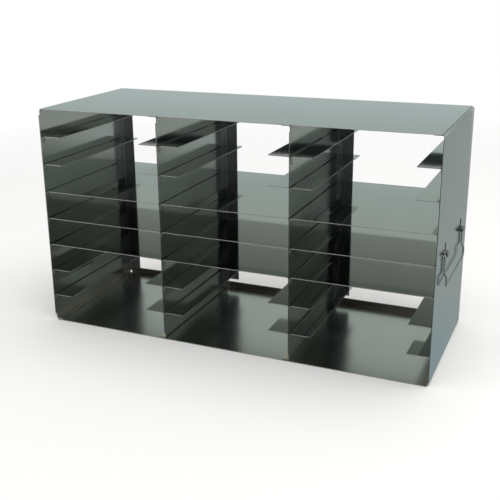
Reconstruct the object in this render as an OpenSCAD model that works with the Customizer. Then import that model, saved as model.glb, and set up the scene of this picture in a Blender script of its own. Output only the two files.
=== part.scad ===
// Freezer storage rack: a side-access rack of bays and levels, folded and spot-welded
// from stainless sheet, with a wire bail handle hinged in knuckles on its right end panel.
// Origin at the centre of the bottom face. +X to the handle end, +Y to the back, +Z up.
// The boxes go in from the front, at -Y. Levels are counted from the top, bays from the left.

/* [Rack] */
// Overall width, between the outer faces of the end panels
rack_w = 543; // [440:1:640]
// Overall depth, from front to back
rack_d = 213; // [180:1:260]
// Overall height
rack_h = 309; // [280:1:380]
// Number of bays side by side
bays = 3; // [2:1:4]
// Number of levels in each bay
levels = 8; // [7:1:8]
// Number of levels on pairs of ledges, above the full shelves
upper_ledge_rows = 2; // [1:1:2]
// Number of levels on full shelves
shelf_rows = 3; // [2:1:4]

/* [Sheet] */
// Thickness of the sheet
sheet_t = 1; // [0.8:0.1:1.5]
// Inside radius of the bends
bend_r = 1.5; // [1:0.1:2]

/* [Top and bottom panels] */
// Distance from the rack's outer side face to the edge of the top or bottom panel
panel_setback = 3; // [2:0.5:5]
// Height of the stiffening lip along the back edge
lip_h = 10.5; // [7:0.5:14]

/* [End panels and dividers] */
// Width of the flange that is welded under the top panel
head_flange_w = 12; // [8:0.5:18]
// Width of the flange that is welded onto the bottom panel
foot_flange_w = 10; // [8:0.5:18]
// Width of the flange that stops the boxes at the back
rear_flange_w = 19; // [10:0.5:26]
// Gap between a lip and the end of a rear flange
lip_gap = 4.5; // [1:0.5:8]
// Height of the relief notches in the front corners
notch_h = 8; // [5:0.5:12]
// Depth of the relief notches in the front corners
notch_d = 2.5; // [1:0.5:4]

/* [Ledges and shelves] */
// Width of a ledge
ledge_w = 28.5; // [20:0.5:40]
// Height of the flange that is welded to the wall
weld_flange_h = 11; // [7:0.5:16]
// Distance from the rack's front to a ledge's front edge
ledge_front_gap = 3; // [1:0.5:8]
// Distance from the rack's back to a ledge's rear edge
ledge_rear_gap = 3.5; // [3:0.5:8]
// Distance from the rack's front to a shelf's front edge
shelf_front_gap = 1.8; // [1:0.1:8]
// Distance from the rack's back to a shelf's rear edge
shelf_rear_gap = 4.5; // [3:0.5:8]
// Chamfer on the lower front corner of a welded flange
flange_chamfer = 5; // [2:0.5:6]
// Radius of a ledge's two free corners
corner_r = 1.5; // [0.5:0.5:4]

/* [Handle knuckles] */
// Height of the knuckles' centre above the bottom of the rack
knuckle_z = 154.5; // [130:0.5:180]
// Distance between the centres of the two knuckles
knuckle_spacing = 107.6; // [80:0.2:130]
// Width of a knuckle
knuckle_w = 10; // [6:0.5:14]
// Angle through which the lanced tab is rolled
curl_angle = 285; // [265:1:300]
// Radial play of the pin in its knuckle
pin_play = 0.95; // [0.8:0.05:1.2]
// Width of the cut on each side of a lanced tab
lance_cut = 0.5; // [0.3:0.1:1]

/* [Handle] */
// Diameter of the wire
wire_d = 2.5; // [2:0.1:3]
// Centre-line radius of the wire's bends
wire_bend_r = 2.8; // [2.4:0.1:4]
// Height of the bail, from its pins to its grip, centre to centre
bail_drop = 38.7; // [34:0.1:60]
// Height of the straight upper part of a leg
leg_upper_h = 20.5; // [16:0.1:22]
// Height over which a leg steps outwards
joggle_h = 6.5; // [5:0.1:8]
// Distance by which a leg steps outwards
joggle_out = 3.5; // [1:0.1:5]
// Length of pin beyond the inner end of its knuckle
pin_tail = 4; // [1:0.5:8]
// Gap between a leg and the end panel
leg_gap = 0.45; // [0.35:0.05:0.7]
// Gap between a pin and the eye that it hangs in
pin_gap = 0.34; // [0.3:0.02:0.34]

/* [Hidden] */
$fn = 64;
wire_fn = 24;
eps = 0.01;

outer_r = bend_r + sheet_t;
bay_pitch = rack_w / bays;
level_pitch = rack_h / levels;
shelf_levels = [for (row = [1 : shelf_rows]) upper_ledge_rows + row];
ledge_levels = [for (l = [1 : levels - 1]) if (len(search(l, shelf_levels)) == 0) l];
sides = ["left", "right"];

wall_bottom_z = sheet_t;
wall_top_z = rack_h - sheet_t;
rear_flange_bottom_z = lip_h + lip_gap;
rear_flange_h = rack_h - 2 * rear_flange_bottom_z;

curl_r = wire_d / 2 + pin_play;
curl_length = curl_angle * PI / 180 * (curl_r + sheet_t / 2);

pin_x = rack_w / 2 + leg_gap + wire_d / 2;
pin_drop = sqrt(pow(pin_play - pin_gap, 2) - pow(pin_play - leg_gap, 2));
pin_z = knuckle_z - pin_drop;
leg_y = knuckle_spacing / 2 + knuckle_w / 2 + wire_bend_r;
pin_end_y = knuckle_spacing / 2 - knuckle_w / 2 - pin_tail;

satin = "#a8adab";
bright = "#c2c6c5";
dull = "#8d9391";

function divider_x(k) = -rack_w / 2 + k * bay_pitch;
function level_z(l) = rack_h - l * level_pitch;
function left_wall_x(b) = b == 1 ? -rack_w / 2 + sheet_t : divider_x(b - 1) + sheet_t / 2;
function right_wall_x(b) = b == bays ? rack_w / 2 - sheet_t : divider_x(b) - sheet_t / 2;

function divider_name(k) = str("divider_", k);
function shelf_name(b, l) = str("bay", b, "_level", l, "_shelf");
function ledge_name(b, l, side) = str("bay", b, "_level", l, "_", side, "_ledge");

// ---- Bent sheet ------------------------------------------------------------------

// Quarter ring of a bend, with the sharp outside corner at the origin
module bend_section() {
    translate([outer_r, outer_r])
        intersection() {
            difference() {
                circle(r = outer_r);
                circle(r = bend_r);
            }
            translate([-outer_r, -outer_r]) square(outer_r);
        }
}

// L section with its outside corner at the origin: leg a along +X, leg b along +Y
module angle_section(a, b) {
    bend_section();
    translate([outer_r, 0]) square([a - outer_r, sheet_t]);
    translate([0, outer_r]) square([sheet_t, b - outer_r]);
}

// Turns a section in the XY plane into one in the XZ plane, running along +Y
module run_along_y(length) {
    translate([0, length, 0]) rotate([90, 0, 0]) linear_extrude(length) children();
}

// Turns a section in the XY plane into one in the YZ plane, centred on X = 0
module run_along_x(length) {
    translate([-length / 2, 0, 0]) rotate([90, 0, 90]) linear_extrude(length) children();
}

// ---- Top and bottom panels ---------------------------------------------------------

// Flat panel with a lip turned up along its back edge, lying on Z = 0
module lipped_panel() {
    run_along_x(rack_w - 2 * panel_setback)
        translate([rack_d / 2, 0]) mirror([1, 0]) angle_section(rack_d, lip_h);
}

module bottom_panel() {
    color(satin) lipped_panel();
}

module top_panel() {
    color(bright) translate([0, 0, rack_h]) mirror([0, 0, 1]) lipped_panel();
}

// ---- Walls: end panels and dividers --------------------------------------------------

// Wall with its outer face on X = 0 and its head and foot flanges turned to -X
module wall_channel() {
    wall_h = wall_top_z - wall_bottom_z;
    translate([0, -rack_d / 2, wall_bottom_z])
        run_along_y(rack_d - outer_r)
            mirror([1, 0]) {
                angle_section(foot_flange_w, wall_h / 2);
                translate([0, wall_h]) mirror([0, 1]) angle_section(head_flange_w, wall_h / 2);
            }
}

// Rear flange of a wall, turned to -X, with its outer corner on X = 0
module rear_flange() {
    translate([0, rack_d / 2, rear_flange_bottom_z])
        linear_extrude(rear_flange_h)
            rotate([0, 0, 180]) {
                bend_section();
                translate([outer_r, 0]) square([rear_flange_w - outer_r, sheet_t]);
            }
}

// Relief notches, so that the flanges start behind the wall's front edge
module front_notches() {
    for (z = [wall_bottom_z, wall_top_z - notch_h])
        translate([-head_flange_w - foot_flange_w, -rack_d / 2 - eps, z - eps])
            cube([head_flange_w + foot_flange_w + eps, notch_d + eps, notch_h + 2 * eps]);
}

module end_wall() {
    difference() {
        wall_channel();
        front_notches();
    }
    rear_flange();
}

module divider(k) {
    color(satin)
        translate([divider_x(k), 0, 0]) {
            translate([sheet_t / 2, 0, 0])
                difference() {
                    wall_channel();
                    front_notches();
                }
            translate([-sheet_t / 2, 0, 0]) mirror([1, 0, 0]) rear_flange();
        }
}

module left_end_panel() {
    color(satin) translate([-rack_w / 2, 0, 0]) mirror([1, 0, 0]) end_wall();
}

// Window that a lanced tab leaves in the wall, above the tab's root
module lance_window() {
    translate([-sheet_t - eps, -knuckle_w / 2 - lance_cut, 0])
        cube([sheet_t + 2 * eps, knuckle_w + 2 * lance_cut, curl_length + lance_cut]);
}

// Tab rolled outwards and down into an eye, rooted in the wall at Z = 0
module rolled_knuckle() {
    translate([curl_r, knuckle_w / 2, 0])
        rotate([90, 0, 0])
            rotate([0, 0, 180 - curl_angle])
                rotate_extrude(angle = curl_angle)
                    translate([curl_r, 0]) square([sheet_t, knuckle_w]);
}

module right_end_panel() {
    color(satin)
        translate([rack_w / 2, 0, 0]) {
            difference() {
                end_wall();
                for (s = [-1, 1]) translate([0, s * knuckle_spacing / 2, knuckle_z]) lance_window();
            }
            for (s = [-1, 1]) translate([0, s * knuckle_spacing / 2, knuckle_z]) rolled_knuckle();
        }
}

// ---- Shelves and ledges --------------------------------------------------------------

// Cuts the lower front corner off a welded flange that hangs from the origin, and its twin
module flange_chamfers(width) {
    translate([-eps, 0, -weld_flange_h])
        rotate([90, 0, 90])
            linear_extrude(width + 2 * eps)
                polygon([[-eps, -eps], [flange_chamfer, -eps], [-eps, flange_chamfer]]);
}

// Shelf across a bay, with a flange turned down against each wall
module shelf(b, l) {
    width = right_wall_x(b) - left_wall_x(b);
    length = rack_d - shelf_front_gap - shelf_rear_gap;
    color(bright)
        translate([left_wall_x(b), -rack_d / 2 + shelf_front_gap, level_z(l)])
            difference() {
                run_along_y(length)
                    mirror([0, 1]) {
                        angle_section(width / 2, weld_flange_h);
                        translate([width, 0]) mirror([1, 0]) angle_section(width / 2, weld_flange_h);
                    }
                flange_chamfers(width);
            }
}

// What rounding takes off a corner at the origin, of a plate in the +X +Y quadrant
module corner_cut() {
    translate([0, 0, -sheet_t - eps])
        difference() {
            translate([-eps, -eps, 0]) cube([corner_r + eps, corner_r + eps, sheet_t + 2 * eps]);
            translate([corner_r, corner_r, -eps]) cylinder(r = corner_r, h = sheet_t + 4 * eps);
        }
}

// Ledge on a wall at X = 0, reaching to +X, with its front edge on Y = 0
module ledge_shape(length) {
    difference() {
        run_along_y(length) mirror([0, 1]) angle_section(ledge_w, weld_flange_h);
        flange_chamfers(outer_r);
        translate([ledge_w, 0, 0]) mirror([1, 0, 0]) corner_cut();
        translate([ledge_w, length, 0]) rotate([0, 0, 180]) corner_cut();
    }
}

module ledge(b, l, side) {
    length = rack_d - ledge_front_gap - ledge_rear_gap;
    on_left = side == "left";
    color(dull)
        translate([on_left ? left_wall_x(b) : right_wall_x(b), -rack_d / 2 + ledge_front_gap, level_z(l)])
            mirror([on_left ? 0 : 1, 0, 0])
                ledge_shape(length);
}

// ---- Handle --------------------------------------------------------------------------

joggle_angle = atan(joggle_out / joggle_h);
joggle_trim = wire_bend_r * tan(joggle_angle / 2);
pin_feed = leg_y - pin_end_y - wire_bend_r;
upper_feed = leg_upper_h - wire_bend_r - joggle_trim;
joggle_feed = norm([joggle_out, joggle_h]) - 2 * joggle_trim;
lower_feed = bail_drop - leg_upper_h - joggle_h - joggle_trim - wire_bend_r;
grip_feed = 2 * (leg_y - wire_bend_r);

// The bail as a wire bender makes it, from one pin to the other. Each step feeds the wire
// straight on, then rolls it about its own axis, then bends it: [feed, roll, bend]
bail_steps = [
    [pin_feed, -90, 90],
    [upper_feed, 90, joggle_angle],
    [joggle_feed, 180, joggle_angle],
    [lower_feed, 90, 90],
    [grip_feed, 0, 90],
    [lower_feed, -90, joggle_angle],
    [joggle_feed, 180, joggle_angle],
    [upper_feed, -90, 90],
    [pin_feed, 0, 0]
];

// Bend of the wire from +Z towards +X, starting at the origin
module wire_bend(angle) {
    translate([wire_bend_r, 0, 0])
        rotate([90, 0, 180])
            rotate_extrude(angle = angle)
                translate([wire_bend_r, 0]) circle(d = wire_d, $fn = wire_fn);
}

// Wire that starts at the origin along +Z and follows the steps from number i on
module bent_wire(steps, i = 0) {
    feed = steps[i][0];
    roll = steps[i][1];
    bend = steps[i][2];
    cylinder(d = wire_d, h = feed, $fn = wire_fn);
    if (i < len(steps) - 1)
        translate([0, 0, feed])
            rotate([0, 0, roll]) {
                wire_bend(bend);
                translate([wire_bend_r, 0, 0])
                    rotate([0, bend, 0])
                        translate([-wire_bend_r, 0, 0]) bent_wire(steps, i + 1);
            }
}

module handle() {
    color(bright)
        translate([pin_x, -pin_end_y, pin_z]) rotate([90, 0, 0]) bent_wire(bail_steps);
}

// ---- The rack --------------------------------------------------------------------------

top_panel();
bottom_panel();
left_end_panel();
right_end_panel();
for (k = [1 : bays - 1])
    divider(k);
for (b = [1 : bays], l = shelf_levels)
    shelf(b, l);
for (b = [1 : bays], l = ledge_levels, side = sides)
    ledge(b, l, side);
handle();
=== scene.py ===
import math

import bmesh
import bpy
from mathutils import Matrix, Vector


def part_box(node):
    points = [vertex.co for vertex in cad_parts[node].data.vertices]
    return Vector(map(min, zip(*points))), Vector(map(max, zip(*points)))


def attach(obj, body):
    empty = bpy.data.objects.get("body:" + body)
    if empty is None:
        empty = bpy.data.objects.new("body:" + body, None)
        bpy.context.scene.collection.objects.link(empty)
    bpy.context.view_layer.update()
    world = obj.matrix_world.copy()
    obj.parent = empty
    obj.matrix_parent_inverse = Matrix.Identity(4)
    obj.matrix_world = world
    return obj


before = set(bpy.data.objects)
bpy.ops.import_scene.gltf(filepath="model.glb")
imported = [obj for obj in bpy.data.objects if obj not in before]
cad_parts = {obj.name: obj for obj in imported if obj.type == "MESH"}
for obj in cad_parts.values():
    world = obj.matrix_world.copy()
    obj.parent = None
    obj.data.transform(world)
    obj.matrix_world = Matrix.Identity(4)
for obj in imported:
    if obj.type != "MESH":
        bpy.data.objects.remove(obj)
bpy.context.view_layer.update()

MM = 0.001
SHEET_T = 1 * MM
BEND_R = 2.5 * MM
# The end panels' outer faces stand at -PANEL_X and PANEL_X. RIGHT also takes in the knuckles.
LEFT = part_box("left_end_panel")[0][0]
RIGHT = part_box("right_end_panel")[1][0]
PANEL_X = -LEFT
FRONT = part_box("right_end_panel")[0][1]
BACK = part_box("right_end_panel")[1][1]


# ---- Small helpers ---------------------------------------------------------------------

class Shader:
    """The node tree of a material or the world, and short calls to add and join nodes."""

    def __init__(self, name, world=False):
        self.owner = (bpy.data.worlds if world else bpy.data.materials).new(name)
        self.out = "ShaderNodeOutputWorld" if world else "ShaderNodeOutputMaterial"
        self.owner.use_nodes = True
        self.tree = self.owner.node_tree
        self.tree.nodes.clear()

    def node(self, kind, inputs=None, **settings):
        made = self.tree.nodes.new(kind)
        for key, value in settings.items():
            setattr(made, key, value)
        for key, value in (inputs or {}).items():
            self.feed(made.inputs[key], value)
        return made

    def feed(self, socket, value):
        if isinstance(value, bpy.types.NodeSocket):
            self.tree.links.new(value, socket)
        else:
            socket.default_value = value

    def place(self):
        return self.node("ShaderNodeTexCoord").outputs["Object"]

    def split(self, vector):
        return self.node("ShaderNodeSeparateXYZ", {0: vector}).outputs

    def stretch(self, vector, scale):
        return self.node("ShaderNodeMapping", {"Vector": vector, "Scale": scale}).outputs["Vector"]

    def maths(self, operation, a, b=0.0):
        return self.node("ShaderNodeMath", {0: a, 1: b}, operation=operation).outputs[0]

    def noise(self, vector, scale, detail, roughness):
        made = self.node(
            "ShaderNodeTexNoise",
            {"Vector": vector, "Scale": scale, "Detail": detail, "Roughness": roughness},
        )
        return made.outputs["Fac"]

    def spread(self, value, span, out):
        """Takes value from a span (low, high) to the span out, and no further."""
        made = self.node(
            "ShaderNodeMapRange",
            {"Value": value, "From Min": span[0], "From Max": span[1], "To Min": out[0], "To Max": out[1]},
        )
        return made.outputs["Result"]

    def soft_step(self, value, clear_at, dense_at):
        """0 at clear_at, 1 at dense_at, and a smooth way between the two."""
        step = self.node(
            "ShaderNodeMapRange",
            {"Value": value, "From Min": clear_at, "From Max": dense_at},
            interpolation_type="SMOOTHSTEP",
        )
        return step.outputs["Result"]

    def mix(self, factor, a, b):
        made = self.node("ShaderNodeMix", data_type="RGBA")
        self.feed(made.inputs[0], factor)
        self.feed(made.inputs[6], a)
        self.feed(made.inputs[7], b)
        return made.outputs[2]

    def ramp(self, value, stops):
        """Colour along value, from stops of (position, colour) in rising order."""
        made = self.node("ShaderNodeValToRGB", {"Fac": value})
        elements = made.color_ramp.elements
        while len(elements) < len(stops):
            elements.new(1.0)
        for element, (position, colour) in zip(elements, stops):
            element.position = position
            element.color = colour
        return made.outputs["Color"]

    def bump(self, height, strength, distance, under=None):
        inputs = {"Height": height, "Strength": strength, "Distance": distance}
        if under is not None:
            inputs["Normal"] = under
        return self.node("ShaderNodeBump", inputs).outputs[0]

    def metal(self, colour, roughness, normal, metallic=1.0, brushing=0.0):
        inputs = {"Base Color": colour, "Roughness": roughness, "Normal": normal}
        inputs.update({"Metallic": metallic, "Specular Tint": EDGE_TINT, "Anisotropic": brushing})
        return self.finish(self.node("ShaderNodeBsdfPrincipled", inputs).outputs[0])

    def finish(self, shader_socket):
        self.tree.links.new(shader_socket, self.node(self.out).inputs["Surface"])
        return self.owner


def shade(colour, factor):
    return (colour[0] * factor, colour[1] * factor, colour[2] * factor, 1)


def add_piece(name, mesh, material):
    """A piece that belongs to the rack: it moves with it and takes the material that it is given."""
    mesh.materials.append(material)
    piece = bpy.data.objects.new(name, mesh)
    bpy.context.scene.collection.objects.link(piece)
    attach(piece, "rack")


# ---- Materials -----------------------------------------------------------------------

STEEL = (0.55, 0.565, 0.545, 1)
EDGE_TINT = (0.85, 0.85, 0.85, 1)

# Welding tinted the walls' feet below HEAT_Z. The bends are paler, a painted highlight, and forming dulled
# the walls over DULL_L from the back. The knuckles are darker, a painted shade, and the lip is tinted over
# LIP_L.
HEAT_Z = 3.4 * MM
HEAT_TINT = (0.58, 0.52, 0.43, 1)
# Painted highlight: the pale colour laid along the bends.
BEND_PAINTED_HIGHLIGHT = (0.72, 0.68, 0.60, 1)
DULL_L = 34 * MM
DULL_ROUGHNESS = 0.16
DULL_METALLIC = 0.8
# Painted shade: how far the knuckles are darkened.
KNUCKLE_PAINTED_SHADE = 0.45
LIP_L = 10 * MM
LIP_TINT = (0.66, 0.57, 0.45, 1)

WIRE_DARK = (0.34, 0.345, 0.33, 1)
WIRE_PALE = (0.47, 0.46, 0.43, 1)
MARK_STRAW = (0.36, 0.32, 0.26, 1)
MARK_BLUE = (0.25, 0.27, 0.30, 1)

# Stretch of the rolling grain, of the lines that sliding boxes leave, and of a wire's draw lines.
GRAIN_X = (0.05, 1.0, 1.0)
GRAIN_Y = (1.0, 0.05, 1.0)
GRAIN_Z = (1.0, 1.0, 0.05)
SLIDE_Y = (1.0, 0.02, 1.0)
DRAWN_X = (1.0, 0.1, 0.1)

# Spans of a noise's value: nearly all that occurs, its middle, its upper part, and its peaks.
WIDE = (0.3, 0.7)
MIDDLE = (0.35, 0.65)
UPPER = (0.35, 0.7)
PEAKS = (0.60, 0.74)
WHOLE = (0.0, 1.0)

# What grain, smudges and scuffs add to the roughness, and how far they darken the steel.
GRAIN_HAZE = (-0.008, 0.012)
SMUDGE_HAZE = (-0.01, 0.02)
SCUFF_HAZE = 0.12
GRAIN_SHADE = 0.92
SMUDGE_SHADE = 0.96
# Roughness of sheared edges and weld marks.
NICKED = (0.28, 0.45)

GRAIN_RELIEF = 0.1 * MM
WAVE_RELIEF = 2 * MM

# The product of a normal's x and y is 0 on flat sheet and 0.5 in the middle of an upright bend.
BEND_SLANT = (0.15, 0.40)
# Where the knuckles start beyond an end panel's face, and where their painted shade is full.
KNUCKLE_X = (PANEL_X + 0.2 * MM, PANEL_X + 1.2 * MM)
# Across an end panel's sheet: heat tint starts behind its outer face and is full past its middle.
INNER_X = (PANEL_X - 0.2 * SHEET_T, PANEL_X - 0.6 * SHEET_T)


def wall_wear_and_painted_light(s, place, tint, rough):
    """Adds to plain sheet what welding and forming left on a wall, a painted highlight on the bends
    and painted shade on the knuckles. Returns its tint, roughness and metallic."""
    across, depth, height = s.split(place)
    inside = s.soft_step(s.maths("ABSOLUTE", across), *INNER_X)
    heated = s.maths("MULTIPLY", s.soft_step(height, HEAT_Z, 0.6 * HEAT_Z), inside)
    facing = s.split(s.node("ShaderNodeNewGeometry").outputs["True Normal"])
    slant = s.maths("ABSOLUTE", s.maths("MULTIPLY", facing[0], facing[1]))
    bend = s.soft_step(slant, *BEND_SLANT)
    dull = s.soft_step(depth, BACK - DULL_L, BACK - 0.3 * DULL_L)
    knuckle = s.soft_step(across, *KNUCKLE_X)
    tint = s.mix(heated, tint, HEAT_TINT)
    # Painted highlight along the bends; the same mask also roughens them below.
    tint = s.mix(bend, tint, BEND_PAINTED_HIGHLIGHT)
    # Painted shade on the knuckles.
    tint = s.mix(knuckle, tint, shade(STEEL, KNUCKLE_PAINTED_SHADE))
    worn = s.maths("MULTIPLY", s.maths("MAXIMUM", bend, dull), DULL_ROUGHNESS)
    return tint, s.maths("ADD", rough, worn), s.spread(dull, WHOLE, (1.0, DULL_METALLIC))


def rolled_steel(name, roughness, grain, scuff, brushing=0.0, wall=False, lip=False):
    """Bright-rolled stainless sheet. grain is the direction it was rolled in, as a stretch per
    axis. scuff is how much the fine lines that boxes leave show, and brushing is how far the
    grain draws out reflections. A wall gets its wear, a painted highlight on its bends and
    painted shade on its knuckles, and a lip is tinted by heat."""
    s = Shader(name)
    place = s.place()
    along = s.stretch(place, grain)
    fine = s.noise(along, scale=900.0, detail=2.0, roughness=0.6)
    broad = s.noise(along, scale=70.0, detail=3.0, roughness=0.5)
    slid = s.noise(s.stretch(place, SLIDE_Y), scale=520.0, detail=2.0, roughness=0.65)
    smudge = s.noise(place, scale=14.0, detail=4.0, roughness=0.55)
    waves = s.noise(place, scale=5.0, detail=1.0, roughness=0.4)
    lines = s.soft_step(slid, *PEAKS)

    haze = s.maths("ADD", s.spread(fine, WIDE, GRAIN_HAZE), s.spread(smudge, UPPER, SMUDGE_HAZE))
    scuffed = s.maths("MULTIPLY", s.maths("MULTIPLY", lines, scuff), SCUFF_HAZE)
    rough = s.maths("ADD", s.maths("ADD", haze, roughness), scuffed)
    tint = s.mix(s.spread(smudge, MIDDLE, WHOLE), shade(STEEL, SMUDGE_SHADE), STEEL)
    tint = s.mix(s.spread(broad, WIDE, (0.0, 0.3)), tint, shade(STEEL, GRAIN_SHADE))
    metallic = 1.0
    if lip:
        depth = s.split(place)[1]
        tint = s.mix(s.soft_step(depth, BACK - LIP_L, BACK - 0.2 * LIP_L), tint, LIP_TINT)
    if wall:
        tint, rough, metallic = wall_wear_and_painted_light(s, place, tint, rough)

    waved = s.bump(waves, strength=0.08, distance=WAVE_RELIEF)
    brushed = s.bump(fine, strength=0.006, distance=GRAIN_RELIEF, under=waved)
    scored = s.bump(lines, strength=0.02 * scuff, distance=GRAIN_RELIEF, under=brushed)
    return s.metal(tint, rough, scored, metallic, brushing)


def sheared_edge(name, colour, metallic):
    """The sheet's own thickness where it was sheared: nicked, and duller than its faces."""
    s = Shader(name)
    place = s.place()
    nicks = s.noise(place, scale=1400.0, detail=2.0, roughness=0.7)
    broad = s.noise(place, scale=60.0, detail=3.0, roughness=0.5)
    tint = s.mix(s.spread(broad, WIDE, WHOLE), shade(colour, 0.85), colour)
    rough = s.spread(nicks, WIDE, NICKED)
    return s.metal(tint, rough, s.bump(nicks, strength=0.10, distance=GRAIN_RELIEF), metallic)


def drawn_wire():
    """Bright-drawn stainless wire, with fine draw lines and a few rubbed spots."""
    s = Shader("wire_steel")
    place = s.place()
    draw = s.noise(s.stretch(place, DRAWN_X), scale=1500.0, detail=3.0, roughness=0.5)
    rubbed = s.noise(place, scale=160.0, detail=3.0, roughness=0.6)
    colour = s.mix(s.spread(rubbed, MIDDLE, WHOLE), WIRE_DARK, WIRE_PALE)
    rough = s.maths("ADD", s.spread(rubbed, WIDE, (0.05, 0.14)), s.spread(draw, WIDE, (0.0, 0.04)))
    return s.metal(colour, rough, s.bump(draw, strength=0.05, distance=GRAIN_RELIEF))


def weld_mark():
    """Spot-weld mark: a dull pressed ring with straw and blue heat tint."""
    s = Shader("weld_mark")
    mottle = s.noise(s.place(), scale=900.0, detail=3.0, roughness=0.6)
    tint = s.mix(s.spread(mottle, MIDDLE, WHOLE), MARK_STRAW, MARK_BLUE)
    rough = s.spread(mottle, WIDE, NICKED)
    return s.metal(tint, rough, s.bump(mottle, strength=0.15, distance=GRAIN_RELIEF))


wall_steel = rolled_steel("panel_steel", 0.12, GRAIN_Z, scuff=0.15, brushing=0.6, wall=True)
cover_steel = rolled_steel("cover_steel", 0.09, GRAIN_X, scuff=0.0)
base_steel = rolled_steel("base_steel", 0.22, GRAIN_X, scuff=0.1, lip=True)
shelf_steel = rolled_steel("shelf_steel", 0.06, GRAIN_Y, scuff=0.4)
bright_edge = sheared_edge("deburred_edge", (0.40, 0.40, 0.37, 1), metallic=0.4)
dull_edge = sheared_edge("sheared_edge", (0.42, 0.41, 0.38, 1), metallic=0.95)
wire_steel = drawn_wire()
mark_steel = weld_mark()


# ---- The CAD nodes' finish -------------------------------------------------------------

# Cosines: above SAME_FLAT two faces lie in one flat, and below SHARP their edge is sharp.
SAME_SPOT = 0.01 * MM
SAME_FLAT = 0.9999
SHARP = 0.5
# A cut face's width, and the share of its rim that is sharp.
CUT_W = (0.6 * SHEET_T, 1.1 * SHEET_T)
CUT_RIM = 0.6
WELD_REACH = 0.001 * MM
ROUND_ANGLE = math.radians(50)
ROUND_STEPS = 2
WALL_ROUND = 0.2 * MM
SHELF_ROUND = 0.35 * MM
SIDEWAYS = 0.9


def flat_groups(mesh):
    """Sorts a mesh's faces into flats. Returns the flat number of each face, and a list of
    the borders between flats, as (face, other face, length, cosine of the angle between)."""
    spot = [tuple(round(c / SAME_SPOT) for c in v.co) for v in mesh.vertices]
    rims = {}
    for face in mesh.polygons:
        corners = list(face.vertices)
        for a, b in zip(corners, corners[1:] + corners[:1]):
            rims.setdefault(frozenset((spot[a], spot[b])), []).append((face.index, a, b))
    flat = list(range(len(mesh.polygons)))

    def root(i):
        while flat[i] != i:
            i = flat[i]
        return i

    borders = []
    for sharing in rims.values():
        if len(sharing) != 2:
            continue
        (one, a, b), (two, _, _) = sharing
        cosine = mesh.polygons[one].normal.dot(mesh.polygons[two].normal)
        if cosine > SAME_FLAT:
            flat[root(one)] = root(two)
        else:
            length = (mesh.vertices[a].co - mesh.vertices[b].co).length
            borders += [(one, two, length, cosine), (two, one, length, cosine)]
    return [root(i) for i in range(len(flat))], borders


def cut_faces(mesh):
    """The faces that are the sheet's own thickness: flats as wide as the sheet is thick,
    between two sharp edges."""
    flat, borders = flat_groups(mesh)
    area, rim, sharp = {}, {}, {}
    for face in mesh.polygons:
        area[flat[face.index]] = area.get(flat[face.index], 0) + face.area
    for one, _, length, cosine in borders:
        rim[flat[one]] = rim.get(flat[one], 0) + length
        if cosine < SHARP:
            sharp[flat[one]] = sharp.get(flat[one], 0) + length
    cut = set()
    for f in area:
        width = 2 * area[f] / rim[f]
        if CUT_W[0] < width < CUT_W[1] and sharp.get(f, 0) > CUT_RIM * rim[f]:
            cut.add(f)
    return [face for face in mesh.polygons if flat[face.index] in cut]


def dress(node, material, edge, round_by, side_edge=None):
    """Gives a CAD node its material, its sheared edges theirs, and its raw edges a small round.
    side_edge is for the sheared edges that face left or right, where they differ."""
    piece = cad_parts[node]
    piece.data.materials.clear()
    piece.data.materials.append(material)
    if edge is not None:
        piece.data.materials.append(edge)
        piece.data.materials.append(side_edge or edge)
        for face in cut_faces(piece.data):
            face.material_index = 2 if abs(face.normal.x) > SIDEWAYS else 1
    weld = piece.modifiers.new("weld", "WELD")
    weld.merge_threshold = WELD_REACH
    bevel = piece.modifiers.new("round", "BEVEL")
    bevel.width = round_by
    bevel.segments = ROUND_STEPS
    bevel.limit_method = "ANGLE"
    bevel.angle_limit = ROUND_ANGLE
    bevel.loop_slide = False
    normals = piece.modifiers.new("normals", "WEIGHTED_NORMAL")
    normals.keep_sharp = False


def dress_all():
    """Walls have dull edges. The rest has bright ones, but for the covers' ends beside a wall."""
    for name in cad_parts:
        if name == "handle":
            dress(name, wire_steel, None, WALL_ROUND)
        elif name == "bottom_panel":
            dress(name, base_steel, bright_edge, SHELF_ROUND, side_edge=dull_edge)
        elif name == "top_panel":
            dress(name, cover_steel, bright_edge, SHELF_ROUND, side_edge=dull_edge)
        elif name.endswith("end_panel") or name.startswith("divider"):
            dress(name, wall_steel, dull_edge, WALL_ROUND)
        else:
            dress(name, shelf_steel, bright_edge, SHELF_ROUND)


dress_all()


# ---- Spot-weld marks -------------------------------------------------------------------

SPOT_SIDES = 14
SPOT_DEPTH = 5.3 * MM
SPOT_FRONT = 3.4 * MM
SPOT_REAR = 14 * MM
# Rings of a mark, as (radius, height above the flange). The first lies in the sheet.
SPOT_RINGS = [(1.9, -0.2), (2.0, 0.0), (1.75, 0.09), (1.45, 0.10), (1.1, 0.03), (0.5, 0.04)]


def spot_points(centre, facing):
    points = []
    for radius, height in SPOT_RINGS:
        for k in range(SPOT_SIDES):
            turn = 2 * math.pi * k / SPOT_SIDES
            across = Vector((0, math.cos(turn), math.sin(turn))) * radius * MM
            points.append(centre + across + Vector((facing * height * MM, 0, 0)))
    return points


def spot_faces(start, facing):
    faces = [tuple(start + k for k in range(SPOT_SIDES))]
    for ring in range(len(SPOT_RINGS) - 1):
        low = start + ring * SPOT_SIDES
        for k in range(SPOT_SIDES):
            after = (k + 1) % SPOT_SIDES
            faces.append((low + k, low + SPOT_SIDES + k, low + SPOT_SIDES + after, low + after))
    last = start + (len(SPOT_RINGS) - 1) * SPOT_SIDES
    faces.append(tuple(last + k for k in reversed(range(SPOT_SIDES))))
    return faces if facing < 0 else [tuple(reversed(f)) for f in faces]


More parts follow.
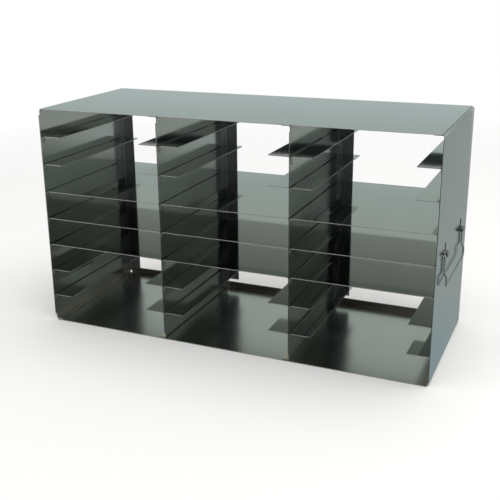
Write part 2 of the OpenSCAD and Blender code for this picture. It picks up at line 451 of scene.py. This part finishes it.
def weld_flanges():
    """The weld flanges' inner faces, as (x, facing, front y, back y, top z)."""
    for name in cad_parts:
        low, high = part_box(name)
        if name.endswith("left_ledge") or name.endswith("shelf"):
            yield low[0] + SHEET_T, 1, low[1], high[1], high[2]
        if name.endswith("right_ledge") or name.endswith("shelf"):
            yield high[0] - SHEET_T, -1, low[1], high[1], high[2]


def make_spot_welds():
    points, faces = [], []
    for x, facing, front, back, top in weld_flanges():
        for y in (front + SPOT_FRONT, (front + back) / 2, back - SPOT_REAR):
            faces += spot_faces(len(points), facing)
            points += spot_points(Vector((x, y, top - SPOT_DEPTH)), facing)
    mesh = bpy.data.meshes.new("spot_welds")
    mesh.from_pydata(points, [], faces)
    for face in mesh.polygons:
        face.use_smooth = True
    add_piece("spot_welds", mesh, mark_steel)


make_spot_welds()


# ---- Feet of the end panels' rear flanges ------------------------------------------------

# A foot runs from the flange down to the lip, and beside the lip's end down to a small hole.
FOOT_LEVELS = (4.0 * MM, 10.3 * MM, 15.2 * MM)
FOOT_INSET = 0.05 * MM
FOOT_REACH = 0.2 * MM
FOOT_STEPS = 8
# Just inside the bottom panel's end, and just short of the flange's free edge.
LIP_END_X = 268.3 * MM
FLANGE_END_X = 252.55 * MM


def foot_section():
    """Outer and inner points of a rear flange's section, from the wall to its free edge."""
    radii = (BEND_R - FOOT_INSET, BEND_R - SHEET_T + FOOT_INSET)
    x, y = PANEL_X - BEND_R, BACK - BEND_R
    section = [[(x + r, y - FOOT_REACH) for r in radii]]
    for k in range(FOOT_STEPS + 1):
        turn = math.pi / 2 * k / FOOT_STEPS
        section.append([(x + r * math.cos(turn), y + r * math.sin(turn)) for r in radii])
    for end in (LIP_END_X, FLANGE_END_X):
        section.append([(end, y + r) for r in radii])
    return section


def add_foot(solid, hand):
    """One closed foot, at the right end for hand 1 and at the left end for hand -1. A corner is
    (station along the section, 0 outside or 1 inside, level)."""
    section = foot_section()
    last = len(section) - 1
    made = {}

    def corner(station, side, level):
        if (station, side, level) not in made:
            x, y = section[station][side]
            made[station, side, level] = solid.verts.new((hand * x, y, FOOT_LEVELS[level]))
        return made[station, side, level]

    def face(*corners):
        solid.faces.new([corner(*c) for c in corners])

    for k in range(last):
        lowest = 1 if k == last - 1 else 0
        for side in (0, 1):
            for level in range(lowest, 2):
                face((k, side, level), (k + 1, side, level), (k + 1, side, level + 1), (k, side, level + 1))
        for level in (lowest, 2):
            face((k, 0, level), (k + 1, 0, level), (k + 1, 1, level), (k, 1, level))
    for k, level in ((0, 0), (0, 1), (last - 1, 0), (last, 1)):
        face((k, 0, level), (k, 1, level), (k, 1, level + 1), (k, 0, level + 1))


def make_flange_feet():
    """Both feet in one piece, set a little inside the flanges' faces that they go on from."""
    solid = bmesh.new()
    add_foot(solid, 1)
    add_foot(solid, -1)
    bmesh.ops.recalc_face_normals(solid, faces=solid.faces)
    mesh = bpy.data.meshes.new("flange_feet")
    solid.to_mesh(mesh)
    solid.free()
    add_piece("flange_feet", mesh, wall_steel)


make_flange_feet()


# ---- Camera --------------------------------------------------------------------------

IMAGE_W = 500
SENSOR_W = 36
CAMERA_AT = Vector((427.6, -1016.6, 485.3)) * MM
CAMERA_YAW = math.radians(24.29)
CAMERA_PITCH = math.radians(17.99)
CAMERA_ROLL = math.radians(-0.85)
FOCAL_PX = 827.1
CENTRE_PX = (234.2, 237.0)
CLIP_NEAR, CLIP_FAR = 0.05, 50


def make_camera():
    ahead = Vector((
        -math.sin(CAMERA_YAW) * math.cos(CAMERA_PITCH),
        math.cos(CAMERA_YAW) * math.cos(CAMERA_PITCH),
        -math.sin(CAMERA_PITCH),
    ))
    level = Vector((math.cos(CAMERA_YAW), math.sin(CAMERA_YAW), 0))
    above = level.cross(ahead)
    right = level * math.cos(CAMERA_ROLL) + above * math.sin(CAMERA_ROLL)
    up = above * math.cos(CAMERA_ROLL) - level * math.sin(CAMERA_ROLL)
    data = bpy.data.cameras.new("camera")
    data.sensor_width = SENSOR_W
    data.lens = FOCAL_PX / IMAGE_W * SENSOR_W
    data.shift_x = 0.5 - CENTRE_PX[0] / IMAGE_W
    data.shift_y = CENTRE_PX[1] / IMAGE_W - 0.5
    data.clip_start, data.clip_end = CLIP_NEAR, CLIP_FAR
    camera = bpy.data.objects.new("camera", data)
    bpy.context.scene.collection.objects.link(camera)
    turn = Matrix((right, up, -ahead)).transposed().to_4x4()
    camera.matrix_world = Matrix.Translation(CAMERA_AT) @ turn
    bpy.context.scene.camera = camera


make_camera()


# ---- Studio, in metres ------------------------------------------------------------------

WHITE = (1, 1, 1, 1)
WORLD_SOFT = 0.65
FLOOR_COLOUR = (0.92, 0.915, 0.90, 1)
FLOOR_R = 12
FADE = (0.5, 1.8)

LAMP_AT, LAMP_AIM = Vector((0.5, -0.2, 2.2)), Vector((0, 0, 0.15))
LAMP_W, LAMP_D = 2.4, 2.0
LAMP_POWER = 34

FELT_Z = 0.4 * MM
FELT_GAP = 0.3 * MM
BACK_GAP = 0.005
FRONT_LEFT, FRONT_W = LEFT - 0.28, 1.8
BACK_W = 1.3
WINGS = 6
WING_L, WING_H = 0.52, 0.15
WING_INSET = 1 * MM

# The cards' axes, and their colours as stops along their way up.
ACROSS, UP = 0, 1
BLACK = (0.036, 0.050, 0.056, 1)
RIGHT_STOPS = [
    (0.22, (0.345, 0.440, 0.458, 1)),
    (0.29, (0.405, 0.465, 0.455, 1)),
]
FRONT_STOPS = [
    (0.10, BLACK),
    (0.24, (0.075, 0.095, 0.11, 1)),
    (0.60, (0.09, 0.11, 0.12, 1)),
]
PAPER_STOPS = [
    (0.20, (0.66, 0.76, 0.78, 1)),
    (0.27, (0.54, 0.63, 0.61, 1)),
    (0.31, (0.48, 0.56, 0.53, 1)),
    (0.42, (0.48, 0.53, 0.48, 1)),
    (0.60, (0.42, 0.46, 0.42, 1)),
]
# Painted shadow: the rack's shadow on the floor behind it, dark by the rack and paler away, seen only by
# reflections.
BACK_SHADOW_STOPS = [
    (0.00, (0.14, 0.16, 0.15, 1)),
    (0.07, (0.17, 0.195, 0.18, 1)),
    (0.20, (0.31, 0.35, 0.31, 1)),
    (0.36, (0.44, 0.48, 0.43, 1)),
    (0.50, (0.53, 0.58, 0.53, 1)),
    (0.80, (0.66, 0.72, 0.70, 1)),
]
SIDE_STOPS = [
    (0.05, (0.38, 0.42, 0.38, 1)),
    (0.30, (0.27, 0.32, 0.30, 1)),
    (0.42, (0.165, 0.19, 0.175, 1)),
    (0.55, (0.12, 0.135, 0.12, 1)),
    (0.80, (0.11, 0.13, 0.12, 1)),
]
WING_STOPS = [
    (0.10, (0.09, 0.10, 0.09, 1)),
    (0.50, (0.135, 0.15, 0.135, 1)),
    (1.00, (0.24, 0.26, 0.24, 1)),
]


def plane(name, corners, material):
    mesh = bpy.data.meshes.new(name)
    mesh.from_pydata([Vector(c) for c in corners], [], [(0, 1, 2, 3)])
    made = bpy.data.objects.new(name, mesh)
    mesh.materials.append(material)
    bpy.context.scene.collection.objects.link(made)
    return made


def seen_rays(s):
    """1 for rays that show the background: from the camera, by reflection or through glass."""
    path = s.node("ShaderNodeLightPath").outputs
    seen = s.maths("MAXIMUM", path["Is Camera Ray"], path["Is Glossy Ray"])
    return s.maths("MAXIMUM", seen, path["Is Transmission Ray"])


def make_floor():
    """Pale paper that carries the shadow near the rack and fades into the white beyond."""
    s = Shader("floor_paper")
    away = s.node("ShaderNodeVectorMath", {0: s.place()}, operation="LENGTH").outputs["Value"]
    far = s.maths("MULTIPLY", s.spread(away, FADE, WHOLE), seen_rays(s))
    paper = s.node("ShaderNodeBsdfDiffuse", {"Color": FLOOR_COLOUR}).outputs[0]
    white = s.node("ShaderNodeEmission", {"Color": WHITE, "Strength": 1.0}).outputs[0]
    both = s.node("ShaderNodeMixShader", {0: far, 1: paper, 2: white}).outputs[0]
    r = FLOOR_R
    plane("floor", [(-r, -r, 0), (r, -r, 0), (r, r, 0), (-r, r, 0)], s.finish(both))


def card(name, corner, across, up, edges, colour, one_sided=False):
    """Studio card that only reflections see. It starts at corner and spans the vectors across
    and up. edges lists soft edges as (axis, clear_at, dense_at), in shares of the span. colour is
    one colour, or stops along up. A one-sided card is clear from behind."""
    s = Shader(name)
    part = s.split(s.place())
    dense = 1.0
    for axis, clear_at, dense_at in edges:
        dense = s.maths("MULTIPLY", dense, s.soft_step(part[axis], clear_at, dense_at))
    if one_sided:
        facing = s.maths("SUBTRACT", 1.0, s.node("ShaderNodeNewGeometry").outputs["Backfacing"])
        dense = s.maths("MULTIPLY", dense, facing)
    if isinstance(colour, list):
        colour = s.ramp(part[UP], colour)
    felt = s.node("ShaderNodeEmission", {"Color": colour, "Strength": 1.0}).outputs[0]
    clear = s.node("ShaderNodeBsdfTransparent").outputs[0]
    both = s.node("ShaderNodeMixShader", {0: dense, 1: clear, 2: felt}).outputs[0]
    made = plane(name, [(0, 0, 0), (1, 0, 0), (1, 1, 0), (0, 1, 0)], s.finish(both))
    across, up = Vector(across), Vector(up)
    turn = Matrix((across, up, across.cross(up).normalized())).transposed().to_4x4()
    made.matrix_world = Matrix.Translation(corner) @ turn
    made.visible_camera = False
    made.visible_diffuse = False
    made.visible_shadow = False
    made.visible_transmission = False


def near_cards():
    """Black felt and card before the rack, a card behind it with the rack's shadow painted on, and grey
    felt beside its right panel.
    """
    card(
        "front_felt",
        corner=(FRONT_LEFT, FRONT - 0.01, FELT_Z), across=(FRONT_W, 0, 0), up=(0, -0.5, 0),
        edges=[(ACROSS, 0.0, 0.13), (UP, 1.0, 0.8)], colour=BLACK,
    )
    card(
        "front_card",
        corner=(FRONT_LEFT, FRONT - 0.45, 0), across=(FRONT_W, 0, 0), up=(0, 0, 0.70),
        edges=[(ACROSS, 0.0, 0.13), (UP, 1.0, 0.7)], colour=FRONT_STOPS,
    )
    # Painted shadow of the rack on the floor behind it.
    card(
        "back_shadow_card",
        corner=(-BACK_W, BACK + BACK_GAP, FELT_Z), across=(BACK_W + RIGHT, 0, 0), up=(0, 1.2, 0),
        edges=[(ACROSS, 0.0, 0.15), (UP, 1.0, 0.7)], colour=BACK_SHADOW_STOPS,
    )
    card(
        "right_felt",
        corner=(PANEL_X + FELT_GAP, FRONT - 0.6, FELT_Z), across=(0.86, 0, 0), up=(0, 3.2, 0),
        edges=[(ACROSS, 1.0, 0.7), (UP, 1.0, 0.9), (UP, 0.0, 0.04)], colour=RIGHT_STOPS,
    )


def far_cards():
    """Wings across the painted shadow behind the rack, a card at the side, and pale paper at the back."""
    for k in range(WINGS):
        x = LEFT + (k + 1) * (PANEL_X - WING_INSET - LEFT) / WINGS
        card(
            "wing_%d" % (k + 1),
            corner=(x, BACK + BACK_GAP + WING_L, 0), across=(0, -WING_L, 0), up=(0, 0, WING_H),
            edges=[(ACROSS, 0.0, 0.3), (UP, 1.0, 0.6)], colour=WING_STOPS, one_sided=True,
        )
    card(
        "side_card",
        corner=(0.683, 2.30, 0), across=(-0.348, -2.10, 0), up=(0, 0, 1.3),
        edges=[(ACROSS, 1.0, 0.96), (UP, 1.0, 0.8)], colour=SIDE_STOPS, one_sided=True,
    )
    card(
        "back_paper",
        corner=(-4.0, 2.6, 0), across=(5.6, 0, 0), up=(0, 0, 3.0),
        edges=[(ACROSS, 1.0, 0.9), (UP, 1.0, 0.8)], colour=PAPER_STOPS,
    )


def make_world():
    """White to every ray that shows the background, and a softer level for lighting."""
    s = Shader("studio", world=True)
    soft = s.node("ShaderNodeBackground", {"Color": WHITE, "Strength": WORLD_SOFT}).outputs[0]
    white = s.node("ShaderNodeBackground", {"Color": WHITE, "Strength": 1.0}).outputs[0]
    both = s.node("ShaderNodeMixShader", {0: seen_rays(s), 1: soft, 2: white}).outputs[0]
    bpy.context.scene.world = s.finish(both)


def make_softbox():
    """The one lamp, high over the front, which neither the camera nor the steel sees."""
    data = bpy.data.lights.new("overhead_softbox", "AREA")
    data.shape = "RECTANGLE"
    data.size, data.size_y = LAMP_W, LAMP_D
    data.energy = LAMP_POWER
    lamp = bpy.data.objects.new("overhead_softbox", data)
    bpy.context.scene.collection.objects.link(lamp)
    lamp.location = LAMP_AT
    lamp.visible_camera = False
    lamp.visible_glossy = False
    lamp.rotation_mode = "QUATERNION"
    lamp.rotation_quaternion = (LAMP_AIM - LAMP_AT).to_track_quat("-Z", "Y")


make_floor()
near_cards()
far_cards()
make_world()
make_softbox()
bpy.context.scene.view_settings.view_transform = "Standard"
